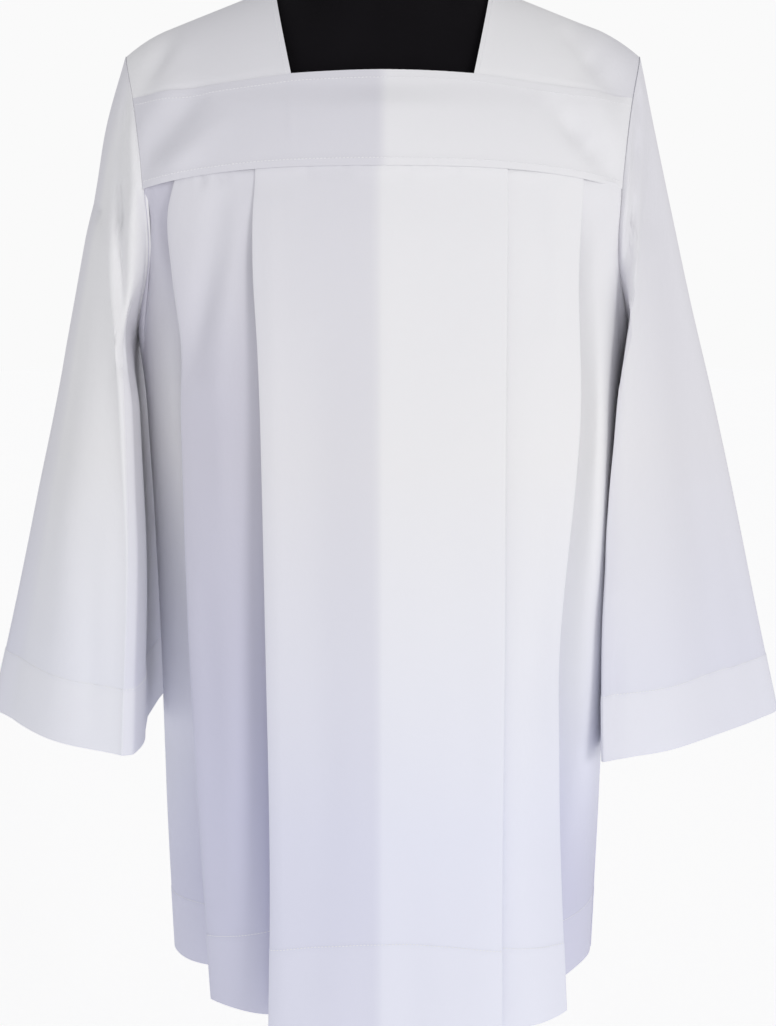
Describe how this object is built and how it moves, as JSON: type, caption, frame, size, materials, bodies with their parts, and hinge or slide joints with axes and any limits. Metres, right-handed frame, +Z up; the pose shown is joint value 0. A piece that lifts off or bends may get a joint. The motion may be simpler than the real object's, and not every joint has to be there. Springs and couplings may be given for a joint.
{
  "type": "rochet on a dress form",
  "caption": "White rochet with a square yoke, knife-pleated front and back and open bell sleeves, on a black limbless dress form and stand.",
  "frame": {"origin": "on the floor, at the centre of the stand's disc foot", "axes": "+Z up the pole, -Y out of the garment's front, +X to the wearer's left"},
  "size_m": [0.7839, 0.38, 1.5283],
  "materials": {
    "white_cloth": "plain weave, matt",
    "black_cover": "knit cover, matt",
    "black_steel": "satin powder coat"
  },
  "bodies": {
    "root": {"front": "white_cloth", "back": "white_cloth", "yoke_front": "white_cloth", "yoke_back": "white_cloth", "shoulder_right": "white_cloth", "shoulder_left": "white_cloth", "sleeve_right": "white_cloth", "sleeve_left": "white_cloth", "form_torso": "black_cover", "form_neck_cap": "black_steel", "form_pole": "black_steel", "form_foot": "black_steel"}
  },
  "joints": []
}
